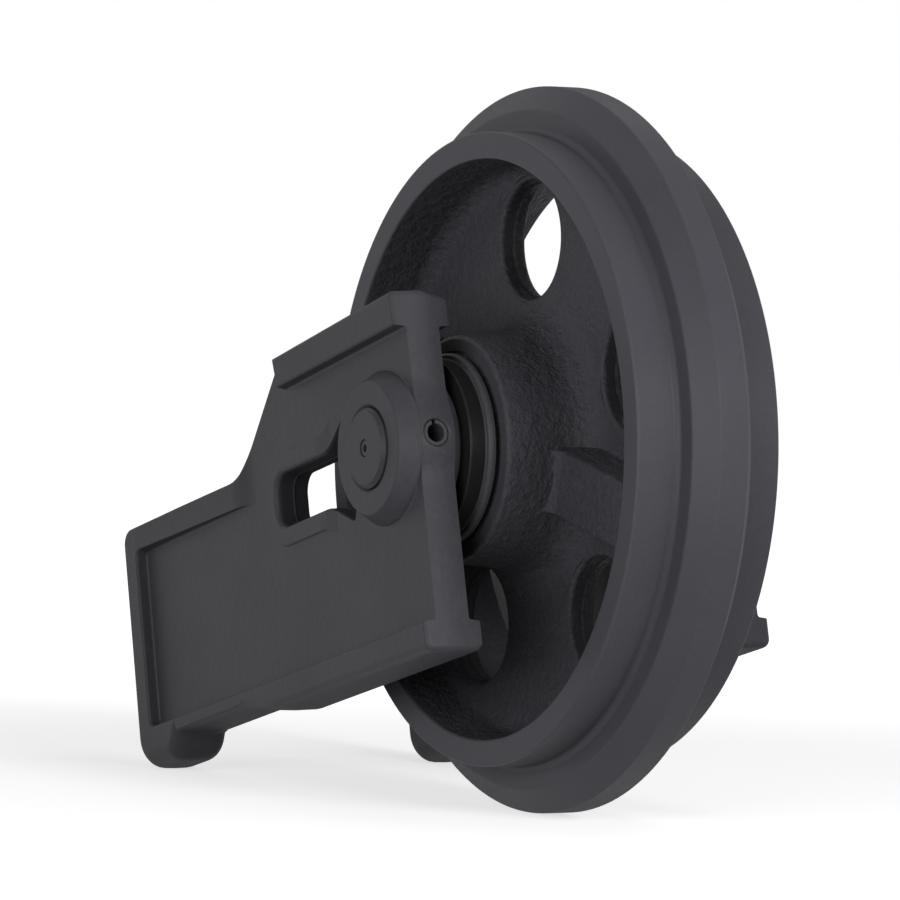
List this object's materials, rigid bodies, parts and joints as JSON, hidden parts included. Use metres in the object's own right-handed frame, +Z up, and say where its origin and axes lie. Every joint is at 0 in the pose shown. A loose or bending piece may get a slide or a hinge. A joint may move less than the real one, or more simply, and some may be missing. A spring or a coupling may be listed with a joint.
{
  "type": "excavator front idler",
  "caption": "Front idler of a tracked excavator: flanged wheel with a pierced web, turning on a sealed, oil-filled fixed shaft that cast guide brackets carry on either side.",
  "frame": {"origin": "on the floor under the middle of the idler's box, as it stands on the wheel and on the brackets' rear feet", "axes": "+X forwards, from the brackets' rear faces towards the wheel; +Y along the axle, from the side with the oil plug to the other side; +Z up"},
  "size_m": [0.6491, 0.2834, 0.4989],
  "materials": {
    "wheel_paint": "satin dark grey paint on a cast and machined surface",
    "bracket_paint": "satin dark grey paint on a cast surface",
    "shaft_paint": "satin dark grey paint over turned steel",
    "collar_steel": "dark painted steel",
    "pin_steel": "dark spring steel under thin paint",
    "plug_steel": "dark painted steel",
    "seal_steel": "lapped steel",
    "bush_bronze": "turned bronze",
    "seal_rubber": "matt black rubber"
  },
  "bodies": {
    "carrier": {"shaft": "shaft_paint", "oil_plug": "plug_steel", "collar_near": "collar_steel", "collar_far": "collar_steel", "collar_seal_ring_near": "seal_steel", "collar_seal_ring_far": "seal_steel", "collar_toric_near": "seal_rubber", "collar_toric_far": "seal_rubber", "shaft_o_ring_near": "seal_rubber", "shaft_o_ring_far": "seal_rubber", "bracket_near": "bracket_paint", "bracket_far": "bracket_paint", "spring_pin_near": "pin_steel", "spring_pin_far": "pin_steel"},
    "wheel": {"idler_wheel": "wheel_paint", "bush_near": "bush_bronze", "bush_far": "bush_bronze", "wheel_seal_ring_near": "seal_steel", "wheel_seal_ring_far": "seal_steel", "wheel_toric_near": "seal_rubber", "wheel_toric_far": "seal_rubber"}
  },
  "joints": [
    {"name": "wheel_spin", "type": "hinge", "parent": "carrier", "child": "wheel", "pos_m": [0.07522, 0, 0.24946], "axis": [0, 1, 0], "continuous": true}
  ]
}
